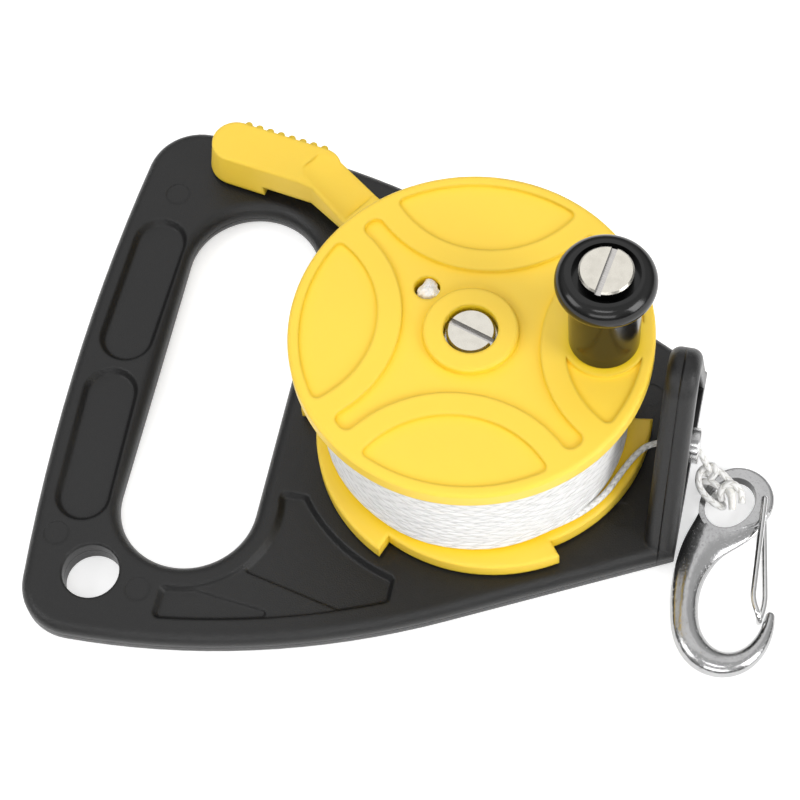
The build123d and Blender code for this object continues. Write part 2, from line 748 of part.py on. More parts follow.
# Lock lever: ribbed pad, sloping arm, hub and pawl
pad_way_x = cos(radians(pad_angle))
pad_way_y = sin(radians(pad_angle))
arm_middle_x = (bend_x + pivot_x) / 2
arm_middle_y = (bend_y + pivot_y) / 2
with BuildPart() as lock_lever:
    with BuildSketch(Plane.XY.offset(pad_top_z)) as lever_plan:
        pad_middle = ((pad_end_x + bend_x) / 2, (pad_end_y + bend_y) / 2, 0)
        with Locations(Location(pad_middle, (0, 0, pad_angle))):
            SlotCenterToCenter(pad_length, pad_width)
        with Locations(Location((arm_middle_x, arm_middle_y, 0), (0, 0, arm_angle))):
            Rectangle(arm_length, arm_width)
    extrude(amount=arm_bottom_z - pad_top_z, taper=-lever_draft)
    slope_plane = Plane(
        origin=(bend_x, bend_y, pad_top_z),
        x_dir=(cos(radians(bend_angle)), sin(radians(bend_angle)), 0),
        z_dir=(-sin(radians(bend_angle)), cos(radians(bend_angle)), 0),
    )
    with BuildSketch(slope_plane):
        with BuildLine():
            Polyline(
                (0, 0),
                (slope_length, slope_drop),
                (2 * arm_length, slope_drop),
                (2 * arm_length, -overrun),
                (0, -overrun),
                close=True,
            )
        make_face()
    extrude(amount=2 * pad_width, both=True, mode=Mode.SUBTRACT)
    fillet(lock_lever.edges().group_by(Axis.Z)[-1], lever_edge)
    valley_way = Vector(cos(radians(arm_angle)), sin(radians(arm_angle)), -slope_drop / slope_length)
    valley_rise = valley_radius - valley_depth
    valley_plane = Plane(origin=(bend_x, bend_y, pad_top_z + valley_rise), z_dir=valley_way)
    with Locations(valley_plane):
        valley_align = (Align.CENTER, Align.CENTER, Align.MIN)
        Cylinder(valley_radius, arm_length - lever_hub_radius, align=valley_align, mode=Mode.SUBTRACT)
    spread = (pad_top_z - arm_bottom_z) * tan(radians(lever_draft))
    with BuildSketch(Plane.XY.offset(arm_bottom_z)):
        with Locations(Location((pad_end_x, pad_end_y, 0), (0, 0, pad_angle))):
            Circle(pad_width / 2 + spread)
            Rectangle(skirt_length, pad_width + 2 * spread, align=(Align.MIN, Align.CENTER))
    extrude(amount=pad_bottom_z - arm_bottom_z, taper=-lever_draft)
    with BuildSketch(Plane.XY.offset(pad_bottom_z)):
        with Locations(Location((pad_end_x, pad_end_y, 0), (0, 0, pad_angle))):
            Circle(pad_width / 2 - lever_wall)
            Rectangle(skirt_length - lever_wall, pad_width - 2 * lever_wall, align=(Align.MIN, Align.CENTER))
    extrude(amount=pad_top_z - lever_wall - pad_bottom_z, mode=Mode.SUBTRACT)
    for rib in range(rib_count):
        along = rib_start + rib * rib_pitch
        rib_x = pad_end_x + along * pad_way_x - pad_width / 2 * pad_way_y
        rib_y = pad_end_y + along * pad_way_y + pad_width / 2 * pad_way_x
        column(rib_x, rib_y, rib_radius, arm_bottom_z, pad_top_z - lever_edge)
    for inner, low_z, end_angle in (
        (pawl_inner_radius, arm_bottom_z, pawl_end_angle),
        (pawl_nose_radius, pawl_nose_bottom_z, pawl_nose_angle),
    ):
        with BuildSketch(Plane.XY.offset(low_z)):
            with BuildLine():
                near_arc = CenterArc((0, 0), inner, pawl_start_angle, end_angle - pawl_start_angle)
                pawl_turn = end_angle - pawl_start_angle
                far_arc = CenterArc((0, 0), pawl_outer_radius, pawl_start_angle, pawl_turn)
                Line(near_arc @ 0, far_arc @ 0)
                Line(near_arc @ 1, far_arc @ 1)
            make_face()
        extrude(amount=lever_hub_top_z - low_z)
    column(pivot_x, pivot_y, lever_hub_radius, arm_bottom_z, lever_hub_top_z)
    nub_x = pivot_x - nub_at * cos(radians(arm_angle)) + nub_side * sin(radians(arm_angle))
    nub_y = pivot_y - nub_at * sin(radians(arm_angle)) - nub_side * cos(radians(arm_angle))
    column(nub_x, nub_y, spring_stop_radius, pivot_seat_z + seat_gap, arm_bottom_z)
    column(pivot_x, pivot_y, lever_washer_radius + soft_gap, lever_hub_top_z, pad_top_z, Mode.SUBTRACT)
    column(pivot_x, pivot_y, pivot_post_radius + running_gap, arm_bottom_z, lever_hub_top_z, Mode.SUBTRACT)
lock_lever.part.label = "lock_lever"
export_step(lock_lever.part, "parts/lock_lever.step")

# Washer and screw that keep the lever on its post
washer_top_z = pivot_post_z + lever_washer_thick
with BuildPart() as lever_washer:
    column(pivot_x, pivot_y, lever_washer_radius, pivot_post_z, washer_top_z)
    column(pivot_x, pivot_y, lever_screw_radius + running_gap, pivot_post_z, washer_top_z, Mode.SUBTRACT)
lever_washer.part.label = "lever_washer"
export_step(lever_washer.part, "parts/lever_washer.step")

with BuildPart() as lever_screw:
    screw_head_z = washer_top_z + running_gap
    screw_top_z = screw_head_z + lever_screw_head_thick
    column(pivot_x, pivot_y, lever_screw_radius, plate_thick + seat_gap, screw_head_z)
    column(pivot_x, pivot_y, lever_screw_head_radius, screw_head_z, screw_top_z)
    chamfer(lever_screw.edges().group_by(Axis.Z)[-1], screw_edge)
    cut_slot(screw_top_z, lever_screw_head_radius, pivot_x, pivot_y, arm_angle)
lever_screw.part.label = "lever_screw"
export_step(lever_screw.part, "parts/lever_screw.step")

# Torsion spring round the post, one leg on the plate's stop, one beside the lever's nub
leg_drop = spring_leg * spring_pitch / (2 * pi * spring_radius)
spring_base = Vector(pivot_x, pivot_y, pivot_seat_z + spring_wire_radius + running_gap + leg_drop)
spring_start = radians(arm_angle + 270)
with BuildPart() as lever_spring:
    with BuildLine() as spring_line:
        legs = spring_leg
        coil_path(spring_radius, spring_pitch, spring_turns, spring_base, spring_start, legs, legs)
    with BuildSketch(Plane(origin=spring_line.line @ 0, z_dir=spring_line.line % 0)):
        Circle(spring_wire_radius)
    sweep(path=spring_line.line)
lever_spring.part.label = "lever_spring"
export_step(lever_spring.part, "parts/lever_spring.step")

# Snap hook: a body of changing oval section round the bay, and a flat head with the eye
head_low_z = hook_z - hook_head_thick / 2
head_top_z = hook_z + hook_head_thick / 2
eye_place = Location((hook_eye_x, hook_eye_y, 0), (0, 0, hook_eye_angle))
with BuildPart() as hook_head:
    column(hook_head_x, hook_head_y, hook_head_radius, head_low_z, head_top_z)
    fillet(hook_head.edges().filter_by(GeomType.CIRCLE), hook_head_round)
    with BuildSketch(Plane.XY.offset(head_low_z)):
        with Locations(eye_place):
            Ellipse(hook_eye_long + hook_eye_rim, hook_eye_short + hook_eye_rim)
    extrude(amount=hook_head_thick)
    with BuildSketch():
        with Locations(eye_place):
            Ellipse(hook_eye_long, hook_eye_short)
    extrude(amount=2 * hook_z, mode=Mode.SUBTRACT)

with BuildPart() as snap_hook:
    with BuildLine():
        spine = Spline(*[(x, y, hook_z) for x, y in hook_spine])
    for (x, y), width, thick in zip(hook_spine, hook_widths, hook_thicks):
        way = spine.tangent_at(spine.param_at_point((x, y, hook_z)))
        with BuildSketch(Plane(origin=(x, y, hook_z), x_dir=Vector(0, 0, 1).cross(way), z_dir=way)):
            Ellipse(width / 2, thick / 2)
    sweep(path=spine, multisection=True)
    with BuildSketch():
        with Locations(eye_place):
            Ellipse(hook_eye_long + hook_eye_wall, hook_eye_short + hook_eye_wall)
    extrude(amount=2 * hook_z, mode=Mode.SUBTRACT)
    add(hook_head.part)
    with Locations((*hook_spine[-1], hook_z)):
        Sphere(hook_widths[-1] / 2)
    pin_hole = gate_wire_radius + running_gap
    column(gate_pivot_x, gate_pivot_y, pin_hole, 0, head_low_z + gate_pin_depth, Mode.SUBTRACT)
    upper_pin_z = head_top_z - gate_pin_depth
    column(gate_pivot_x, gate_pivot_y, pin_hole, upper_pin_z, 2 * hook_z, Mode.SUBTRACT)
snap_hook.part.label = "snap_hook"
export_step(snap_hook.part, "parts/snap_hook.step")

# Wire gate: one bent wire, its two ends pinned in the hook's head
gate_high_z = head_top_z + gate_wire_radius + seat_gap
gate_low_z = head_low_z - gate_wire_radius - seat_gap
gate_points = [
    (gate_pivot_x, gate_pivot_y, head_top_z - gate_pin_depth + seat_gap),
    (gate_pivot_x, gate_pivot_y, gate_high_z),
    (gate_upper_x, gate_upper_y, gate_high_z),
    (gate_nose_x, gate_nose_y, gate_high_z),
    (gate_nose_x, gate_nose_y, gate_low_z),
    (gate_lower_x, gate_lower_y, gate_low_z),
    (gate_pivot_x, gate_pivot_y, gate_low_z),
    (gate_pivot_x, gate_pivot_y, head_low_z + gate_pin_depth - seat_gap),
]
with BuildPart() as snap_gate:
    route_tube(gate_points, gate_wire_radius)
snap_gate.part.label = "snap_gate"
export_step(snap_gate.part, "parts/snap_gate.step")

# Free line: lead from the winding, loop round the hook's eye, bight over its head, tie knot
with BuildPart() as line_lead:
    route_tube(lead_points, line_radius)
line_lead.part.label = "line_lead"
export_step(line_lead.part, "parts/line_lead.step")

with BuildPart() as line_loop:
    route_tube(loop_points, line_radius)
line_loop.part.label = "line_loop"
export_step(line_loop.part, "parts/line_loop.step")

with BuildPart() as line_bight:
    route_tube(bight_points, line_radius)
line_bight.part.label = "line_bight"
export_step(line_bight.part, "parts/line_bight.step")

with BuildPart() as line_knot:
    with Locations((tie_knot_x, tie_knot_y, tie_knot_z)):
        Sphere(tie_knot_radius)
line_knot.part.label = "line_knot"
export_step(line_knot.part, "parts/line_knot.step")

# Printed sizes of the line: tube volume against its section and length, and the winding's gap to itself
section = pi * line_radius**2
wound_length = sum(arc.length for arc in winding_line.edges())
print("winding volume", line_winding.part.volume, "expected", section * wound_length)
samples = 24
near_gap = winding_pitch
for step in range(samples):
    angle = 2 * pi * step / samples
    here = turn_point(winding_radius, winding_pitch, angle, winding_base, 0)
    next_turn = turn_point(winding_radius, winding_pitch, angle + 2 * pi, winding_base, 0)
    near_gap = min(near_gap, (next_turn - here).length - line_diameter)
print("line tube radius", line_radius, "least gap of the winding to itself", round(near_gap, 3))
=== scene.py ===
import math

import bmesh
import bpy
from mathutils import Matrix, Vector, noise


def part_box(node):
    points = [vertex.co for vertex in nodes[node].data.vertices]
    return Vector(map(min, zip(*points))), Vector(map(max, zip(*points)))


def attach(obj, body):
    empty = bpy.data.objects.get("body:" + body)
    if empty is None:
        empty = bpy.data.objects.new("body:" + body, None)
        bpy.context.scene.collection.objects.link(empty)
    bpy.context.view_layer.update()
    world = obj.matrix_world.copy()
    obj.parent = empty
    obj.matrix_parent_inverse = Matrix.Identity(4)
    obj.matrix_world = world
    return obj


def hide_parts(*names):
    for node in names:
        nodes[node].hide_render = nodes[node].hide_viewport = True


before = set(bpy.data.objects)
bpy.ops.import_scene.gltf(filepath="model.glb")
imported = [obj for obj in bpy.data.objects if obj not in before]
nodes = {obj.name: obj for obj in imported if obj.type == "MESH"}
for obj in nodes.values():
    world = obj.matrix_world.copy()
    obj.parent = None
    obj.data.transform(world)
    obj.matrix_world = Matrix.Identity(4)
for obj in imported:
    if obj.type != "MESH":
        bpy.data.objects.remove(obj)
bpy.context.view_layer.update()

# Dive reel: looks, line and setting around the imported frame. Lengths are in metres, lamps in watts.
scene = bpy.context.scene
full_turn = 2 * math.pi

# ---------------------------------------------------------------- camera
# fitted to the photograph, which is 800 pixels wide
photo_width = 800.0
focal_length = 2450.967  # in pixels of the photograph
shift = (-0.32, -0.09)  # in pixels of the photograph
sensor_width = 36.0
camera_place = Vector((0.083093, -0.316990, 0.641674))
ahead = Vector((-0.148615, 0.446753, -0.882227)).normalized()
upward = Vector((-0.161057, 0.869288, 0.467331))
side = ahead.cross(upward).normalized()
upward = side.cross(ahead).normalized()
camera_data = bpy.data.cameras.new("camera")
camera = bpy.data.objects.new("camera", camera_data)
scene.collection.objects.link(camera)
camera.matrix_world = Matrix.Translation(camera_place) @ Matrix((side, upward, -ahead)).transposed().to_4x4()
camera_data.sensor_fit = "HORIZONTAL"
camera_data.sensor_width = sensor_width
camera_data.lens = sensor_width * focal_length / photo_width
camera_data.shift_x = shift[0] / photo_width
camera_data.shift_y = shift[1] / photo_width
camera_data.clip_start = 0.05
camera_data.clip_end = 20.0
scene.camera = camera


# ---------------------------------------------------------------- node helpers
def rgb(red, green, blue):
    return (red, green, blue, 1.0)


class Shader:
    """A Principled material whose nodes are added one at a time."""

    def __init__(self, name):
        self.material = bpy.data.materials.new(name)
        self.material.use_nodes = True
        self.tree = self.material.node_tree
        self.bsdf = self.tree.nodes["Principled BSDF"]
        self.coordinates = None

    def add(self, kind, **settings):
        """A new node of this kind, with its own settings."""
        node = self.tree.nodes.new(kind)
        for key, value in settings.items():
            setattr(node, key, value)
        return node

    def feed(self, socket, value):
        """Link another node's output to the socket, or give the socket a plain value."""
        if isinstance(value, bpy.types.NodeSocket):
            self.tree.links.new(value, socket)
        else:
            socket.default_value = value

    def put(self, name, value):
        """Feed one of the Principled shader's own sockets."""
        self.feed(self.bsdf.inputs[name], value)

    def place(self):
        """Object coordinates, which are the shared frame's."""
        if self.coordinates is None:
            self.coordinates = self.add("ShaderNodeTexCoord")
        return self.coordinates.outputs["Object"]

    def split(self, vector):
        """The X, Y and Z of a vector."""
        node = self.add("ShaderNodeSeparateXYZ")
        self.feed(node.inputs[0], vector)
        return node.outputs

    def math(self, operation, *values):
        node = self.add("ShaderNodeMath", operation=operation)
        for socket, value in zip(node.inputs, values):
            self.feed(socket, value)
        return node.outputs[0]

    def sum_of_squares(self, first, second):
        return self.math("ADD", self.math("MULTIPLY", first, first), self.math("MULTIPLY", second, second))

    def noise(self, scale, detail=3.0, rough=0.55):
        node = self.add("ShaderNodeTexNoise")
        for name, value in (("Scale", scale), ("Detail", detail), ("Roughness", rough), ("Vector", self.place())):
            self.feed(node.inputs[name], value)
        return node.outputs["Fac"]

    def spread(self, value, source, target):
        """The value carried from the source range over to the target range, and held at its ends."""
        node = self.add("ShaderNodeMapRange")
        ends = zip(("From Min", "From Max", "To Min", "To Max"), (*source, *target))
        for name, end in (("Value", value), *ends):
            self.feed(node.inputs[name], end)
        return node.outputs["Result"]

    def mix(self, factor, first, second):
        """The first colour where the factor is 0 and the second where it is 1."""
        node = self.add("ShaderNodeMix", data_type="RGBA")
        self.feed(node.inputs["Factor"], factor)
        self.feed(node.inputs[6], first)
        self.feed(node.inputs[7], second)
        return node.outputs[2]

    def bump(self, height, distance, strength=1.0, below=None):
        """Normals of this height, laid over the normals below."""
        node = self.add("ShaderNodeBump")
        self.feed(node.inputs["Height"], height)
        self.feed(node.inputs["Distance"], distance)
        self.feed(node.inputs["Strength"], strength)
        if below is not None:
            self.feed(node.inputs["Normal"], below)
        return node.outputs["Normal"]

    def softened(self, radius):
        """Normals of edges rounded by a radius, as moulded corners are."""
        node = self.add("ShaderNodeBevel")
        node.samples = 4
        self.feed(node.inputs["Radius"], radius)
        return node.outputs["Normal"]

    def waxy(self, weight, radius):
        """Light that spreads under the surface."""
        self.put("Subsurface Weight", weight)
        self.put("Subsurface Radius", radius)
        self.put("Subsurface Scale", 1.0)


# ---------------------------------------------------------------- materials
def satin_black():
    """Moulded black plastic: fine grain, cloudy gloss, faint parting lines round the plate and over the guide."""
    plate_seam_z = 0.0045
    guide_seam_x = 0.0583
    seam_width = 0.0003
    s = Shader("satin_black")
    cloud = s.noise(38.0, detail=4.0)
    grain = s.noise(2300.0, detail=2.0, rough=0.6)
    s.put("Base Color", s.mix(cloud, rgb(0.007, 0.007, 0.0072), rgb(0.0115, 0.0115, 0.0117)))
    s.put("Roughness", s.spread(cloud, (0.3, 0.7), (0.3, 0.38)))
    s.put("Specular IOR Level", 0.43)
    axes = s.split(s.place())
    plate_seam = s.math("ABSOLUTE", s.math("SUBTRACT", axes["Z"], plate_seam_z))
    guide_seam = s.math("ABSOLUTE", s.math("SUBTRACT", axes["X"], guide_seam_x))
    ridge = s.spread(s.math("MINIMUM", plate_seam, guide_seam), (0.0, seam_width), (1.0, 0.0))
    grained = s.bump(grain, distance=0.00018, strength=0.8, below=s.softened(0.0011))
    s.put("Normal", s.bump(ridge, distance=0.0005, below=grained))
    return s.material


def gloss_black():
    """Polished black knob: clear gloss with a little haze and waviness."""
    s = Shader("gloss_black")
    haze = s.noise(120.0, detail=5.0)
    s.put("Base Color", s.mix(haze, rgb(0.005, 0.005, 0.005), rgb(0.009, 0.009, 0.009)))
    s.put("Roughness", s.spread(haze, (0.35, 0.7), (0.14, 0.22)))
    s.put("Specular IOR Level", 0.38)
    s.put("Normal", s.bump(s.noise(260.0, detail=2.0), distance=0.00005, strength=0.3))
    return s.material


def yellow_plastic():
    """Semi-matte moulded yellow: slightly cloudy, with painted shade of a deeper orange in creases, soft corners
    and a fine grain.
    """
    crease_shade_reach = 0.004
    s = Shader("yellow_plastic")
    cloud = s.noise(26.0)
    grain = s.noise(1900.0, detail=2.0, rough=0.6)
    pale = s.mix(cloud, rgb(0.925, 0.63, 0.06), rgb(0.94, 0.655, 0.07))
    # painted shade: creases and corners take a deeper, more saturated orange that stands in for shade and bounced
    # light
    crease_shade = s.add("ShaderNodeAmbientOcclusion")
    crease_shade.samples = 4
    s.feed(crease_shade.inputs["Distance"], crease_shade_reach)
    unshaded_share = s.spread(crease_shade.outputs["AO"], (0.45, 0.95), (0.0, 1.0))
    s.put("Base Color", s.mix(unshaded_share, rgb(0.97, 0.66, 0.014), pale))
    s.put("Roughness", s.spread(cloud, (0.3, 0.7), (0.38, 0.48)))
    s.put("Specular IOR Level", 0.4)
    s.waxy(0.2, (0.0012, 0.001, 0.0004))
    s.put("Normal", s.bump(grain, distance=0.00004, strength=0.35, below=s.softened(0.0014)))
    return s.material


def turned_steel(name, centre=(0.0, 0.0), top=None, warm=True, rough=0.24, slot_wall_shade=0.3):
    """Nickel-plated steel, faced on a lathe: fine rings about its own axis.

    Where top is given, it is the height of a slotted head: its slot gets cross marks on the floor, and painted
    shade on its walls in a grey given as an argument; upright faces get painted shade as well.
    """
    ring_pitch = 0.0003
    slot_mark_scale = 5200.0
    slot_mark_lean = 0.35
    slot_from, slot_full = 0.0004, 0.0006  # depths between which the slot's colour sets in
    s = Shader(name)
    s.put("Metallic", 1.0)
    scuff = s.noise(420.0, detail=5.0)
    tint = rgb(0.71, 0.68, 0.61) if warm else rgb(0.70, 0.70, 0.70)
    dull = rgb(0.65, 0.62, 0.555) if warm else rgb(0.60, 0.60, 0.60)
    colour = s.mix(s.spread(scuff, (0.45, 0.75), (0.0, 1.0)), tint, dull)
    axes = s.split(s.place())
    if top is not None:
        marks = s.add("ShaderNodeTexNoise", noise_dimensions="1D")
        s.feed(marks.inputs["Scale"], slot_mark_scale)
        s.feed(marks.inputs["W"], s.math("ADD", s.math("MULTIPLY", axes["X"], slot_mark_lean), axes["Y"]))
        slot_colour = s.mix(marks.outputs["Fac"], rgb(0.40, 0.385, 0.37), rgb(0.74, 0.72, 0.70))
        slopes = s.split(s.add("ShaderNodeNewGeometry").outputs["True Normal"])
        upright_shade_mask = s.spread(slopes["Z"], (0.6, 0.95), (1.0, 0.0))
        # painted shade: the slot's upright walls take a flat dark grey
        slot_colour = s.mix(upright_shade_mask, slot_colour, rgb(slot_wall_shade, slot_wall_shade * 0.98, slot_wall_shade * 0.94))
        # painted shade: upright faces of the head are darkened towards a dark grey
        colour = s.mix(s.math("MULTIPLY", upright_shade_mask, 0.85), colour, rgb(0.16, 0.155, 0.14))
        below = s.spread(axes["Z"], (top - slot_full, top - slot_from), (1.0, 0.0))
        colour = s.mix(below, colour, slot_colour)
    s.put("Base Color", colour)
    across = s.math("SUBTRACT", axes["X"], centre[0])
    along = s.math("SUBTRACT", axes["Y"], centre[1])
    reach = s.math("SQRT", s.sum_of_squares(across, along))
    rings = s.math("SINE", s.math("MULTIPLY", reach, full_turn / ring_pitch))
    s.put("Roughness", s.spread(scuff, (0.4, 0.7), (rough, rough + 0.08)))
    turned = s.bump(rings, distance=0.000004, strength=0.5)
    s.put("Normal", s.bump(scuff, distance=0.00002, strength=0.15, below=turned))
    return s.material


def cast_stainless():
    """Cast and tumbled stainless steel: soft ripples, small pits, polish that varies, and painted shade in the
    bore of the oval eye.
    """
    eye_centre = (0.0757, -0.0100)
    eye_length, eye_width = 0.0085, 0.0065  # half axes
    eye_turn = math.radians(62.0)
    s = Shader("cast_stainless")
    s.put("Metallic", 1.0)
    ripple = s.noise(150.0)
    pits = s.noise(1500.0, detail=4.0, rough=0.7)
    bright = s.mix(ripple, rgb(0.38, 0.38, 0.385), rgb(0.52, 0.52, 0.52))
    axes = s.split(s.place())
    across = s.math("SUBTRACT", axes["X"], eye_centre[0])
    along = s.math("SUBTRACT", axes["Y"], eye_centre[1])
    major = s.math(
        "ADD",
        s.math("MULTIPLY", across, math.cos(eye_turn) / eye_length),
        s.math("MULTIPLY", along, math.sin(eye_turn) / eye_length),
    )
    minor = s.math(
        "SUBTRACT",
        s.math("MULTIPLY", along, math.cos(eye_turn) / eye_width),
        s.math("MULTIPLY", across, math.sin(eye_turn) / eye_width),
    )
    clear_of_bore_shade = s.spread(s.sum_of_squares(major, minor), (1.01, 1.05), (0.0, 1.0))
    # painted shade: inside the eye's oval the bore walls are near black
    s.put("Base Color", s.mix(clear_of_bore_shade, rgb(0.09, 0.09, 0.09), bright))
    s.put("Roughness", s.spread(pits, (0.35, 0.75), (0.14, 0.3)))
    rippled = s.bump(ripple, distance=0.00035, strength=0.5)
    holes = s.spread(pits, (0.6, 0.72), (0.0, 1.0))
    s.put("Normal", s.bump(holes, distance=0.00006, strength=0.5, below=rippled))
    return s.material


def wire_steel():
    """Drawn and polished wire."""
    s = Shader("wire_steel")
    s.put("Metallic", 1.0)
    streak = s.noise(700.0)
    s.put("Base Color", s.mix(streak, rgb(0.60, 0.60, 0.60), rgb(0.74, 0.74, 0.74)))
    s.put("Roughness", s.spread(streak, (0.3, 0.7), (0.1, 0.2)))
    s.put("Normal", s.bump(streak, distance=0.00002, strength=0.3))
    return s.material


def brass():
    """Machined brass with a few stains."""
    s = Shader("turned_brass")
    s.put("Metallic", 1.0)
    stain = s.noise(300.0, detail=4.0)
    s.put("Base Color", s.mix(stain, rgb(0.80, 0.60, 0.27), rgb(0.60, 0.43, 0.18)))
    s.put("Roughness", s.spread(stain, (0.3, 0.7), (0.25, 0.4)))
    s.put("Normal", s.bump(s.noise(1200.0, detail=2.0), distance=0.00003, strength=0.4))
    return s.material


def nylon():
    """Undyed nylon of the bushing and the thrust washer."""
    s = Shader("natural_nylon")
    cloud = s.noise(90.0)
    s.put("Base Color", s.mix(cloud, rgb(0.80, 0.79, 0.74), rgb(0.87, 0.86, 0.82)))
    s.put("Roughness", s.spread(cloud, (0.3, 0.7), (0.4, 0.5)))
    s.put("Normal", s.bump(s.noise(1500.0, detail=2.0), distance=0.00004, strength=0.4))
    return s.material


def braided_line(name, strand_gap_shade, pale, depth, lay, strands):
    """White braid: fine chevron strands from the piece's own UVs, with painted shade in the gaps between them.

    strands is their number round the line, and lay how many of them pass in one line width of length.
    """
    s = Shader(name)
    uv = s.split(s.add("ShaderNodeTexCoord").outputs["UV"])
    wobble = s.math("MULTIPLY", s.math("SUBTRACT", s.noise(700.0, detail=2.0), 0.5), 2.2)
    run = s.math("MULTIPLY", uv["X"], full_turn * lay)
    turn = s.math("MULTIPLY", uv["Y"], full_turn * strands)

    def strand(phase):
        """Height of the strands that lie one way: 0 between two, 1 on a crown."""
        return s.math("ABSOLUTE", s.math("SINE", s.math("MULTIPLY", s.math("ADD", phase, wobble), 0.5)))

    right = strand(s.math("ADD", run, turn))
    left = strand(s.math("SUBTRACT", run, turn))
    over = s.spread(s.math("SINE", turn), (-0.3, 0.3), (0.0, 1.0))
    weave = s.math(
        "ADD",
        s.math("MULTIPLY", right, over),
        s.math("MULTIPLY", left, s.math("SUBTRACT", 1.0, over)),
    )
    fibres = s.noise(5200.0, detail=2.0, rough=0.7)
    height = s.math("ADD", weave, s.math("MULTIPLY", fibres, 0.3))
    warm_strand_gap_shade = rgb(strand_gap_shade[0] * 1.12, strand_gap_shade[1] * 1.08, strand_gap_shade[2] * 0.94)
    gap_shade = s.mix(s.noise(230.0, detail=2.0), strand_gap_shade, warm_strand_gap_shade)
    # painted shade: the gaps between strands take the darker colour, the crowns the pale one
    s.put("Base Color", s.mix(s.spread(height, (0.2, 0.75), (0.0, 1.0)), gap_shade, pale))
    s.put("Roughness", 0.6)
    s.put("Specular IOR Level", 0.35)
    s.put("Sheen Weight", 0.2)
    s.put("Sheen Roughness", 0.4)
    s.waxy(0.15, (0.0008, 0.0008, 0.0008))
    s.put("Normal", s.bump(height, distance=depth, strength=0.8))
    return s.material


def melted_line():
    """Melted end of the line: milky, waxy and uneven."""
    s = Shader("melted_line")
    cloud = s.noise(600.0)
    s.put("Base Color", s.mix(cloud, rgb(0.80, 0.78, 0.73), rgb(0.95, 0.94, 0.91)))
    s.put("Roughness", s.spread(cloud, (0.3, 0.7), (0.18, 0.34)))
    s.waxy(0.4, (0.0012, 0.0011, 0.001))
    uneven = s.bump(cloud, distance=0.0003, strength=0.5)
    s.put("Normal", s.bump(s.noise(1900.0), distance=0.00035, strength=0.9, below=uneven))
    return s.material


crank_axis = (0.03585, 0.00421)
lever_axis = (-0.0388, 0.05405)
far_away = (1.0, 1.0)  # the eyelet lies across Z, so its marks are nearly straight lines
black = satin_black()
knob_black = gloss_black()
yellow = yellow_plastic()
hub_steel = turned_steel("hub_steel", top=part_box("axle_bolt")[1].z)
crank_steel = turned_steel("crank_steel", crank_axis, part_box("knob_screw")[1].z, slot_wall_shade=0.05)
lever_steel = turned_steel("lever_steel", lever_axis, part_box("lever_screw")[1].z)
eyelet_steel = turned_steel("eyelet_steel", far_away, warm=False, rough=0.18)
cast = cast_stainless()
wire = wire_steel()
brass_material = brass()
nylon_material = nylon()
line = braided_line(
    "braided_line",
    strand_gap_shade=rgb(0.60, 0.60, 0.60),
    pale=rgb(0.86, 0.855, 0.84),
    depth=0.00018,
    lay=0.8,
    strands=4.0,
)
wound_line = braided_line(
    "wound_line",
    strand_gap_shade=rgb(0.57, 0.58, 0.61),
    pale=rgb(0.805, 0.80, 0.795),
    depth=0.0001,
    lay=0.3106,  # set so that the strands of neighbouring turns don't line up in streaks
    strands=5.0,
)
melted = melted_line()

looks = {
    "frame": black,
    "crank_knob": knob_black,
    "spool": yellow,
    "ratchet_flange": yellow,
    "lock_lever": yellow,
    "axle_bolt": hub_steel,
    "axle_nut": hub_steel,
    "axle_washer": hub_steel,
    "knob_screw": crank_steel,
    "knob_washer": crank_steel,
    "lever_screw": lever_steel,
    "lever_washer": lever_steel,
    "lever_spring": lever_steel,
    "line_eyelet": eyelet_steel,
    "snap_hook": cast,
    "snap_gate": wire,
    "knob_insert": brass_material,
    "thrust_washer": nylon_material,
    "spool_bushing": nylon_material,
}
for name, material in looks.items():
    for place in nodes[name].material_slots:
        place.material = material


# ---------------------------------------------------------------- line pieces
def route(points):
    """Points along one smooth NURBS spline through the given route."""
    curve = bpy.data.curves.new("route", "CURVE")
    curve.dimensions = "3D"
    curve.resolution_u = 10
    spline = curve.splines.new("NURBS")
    spline.points.add(len(points) - 1)
    for point, place in zip(spline.points, points):
        point.co = (*place, 1.0)
    spline.order_u = 3
    spline.use_endpoint_u = True
    holder = bpy.data.objects.new("route", curve)
    scene.collection.objects.link(holder)
    flat = bpy.data.meshes.new_from_object(holder)
    path = [vertex.co.copy() for vertex in flat.vertices]
    bpy.data.objects.remove(holder)
    bpy.data.meshes.remove(flat)
    bpy.data.curves.remove(curve)
    return path


def shown(name, mesh):
    """An object in the scene from a finished bmesh."""
    data = bpy.data.meshes.new(name)
    mesh.to_mesh(data)
    mesh.free()
    piece = bpy.data.objects.new(name, data)
    scene.collection.objects.link(piece)
    return piece


def tube(name, path, radius, sides=14, radii=None, squash=1.0):
    """A closed tube mesh along path; U is the length in widths, V the turn round it."""
    mesh = bmesh.new()
    layer = mesh.loops.layers.uv.new("UVMap")
    last = len(path) - 1
    lengths = [0.0]
    for first, second in zip(path, path[1:]):
        lengths.append(lengths[-1] + (second - first).length)
    ways = [(path[min(index + 1, last)] - path[max(index - 1, 0)]).normalized() for index in range(last + 1)]
    out = ways[0].orthogonal().normalized()
    rings = []
    for index, way in enumerate(ways):
        out = (out - way * out.dot(way)).normalized()
        other = way.cross(out)
        size = radius if radii is None else radii[index]
        ring = []
        for step in range(sides):
            angle = full_turn * step / sides
            offset = out * math.cos(angle) * size + other * math.sin(angle) * size * squash
            ring.append(mesh.verts.new(path[index] + offset))
        rings.append(ring)
    for index in range(last):
        near, far = rings[index], rings[index + 1]
        ends = (lengths[index], lengths[index], lengths[index + 1], lengths[index + 1])
        for step in range(sides):
            after = (step + 1) % sides
            face = mesh.faces.new((near[step], near[after], far[after], far[step]))
            face.smooth = True
            for loop, end, turned in zip(face.loops, ends, (step, step + 1, step + 1, step)):
                loop[layer].uv = (end / (2 * radius), turned / sides)
    for cap in (list(reversed(rings[0])), rings[-1]):
        mesh.faces.new(cap).smooth = True
    mesh.normal_update()
    return shown(name, mesh)


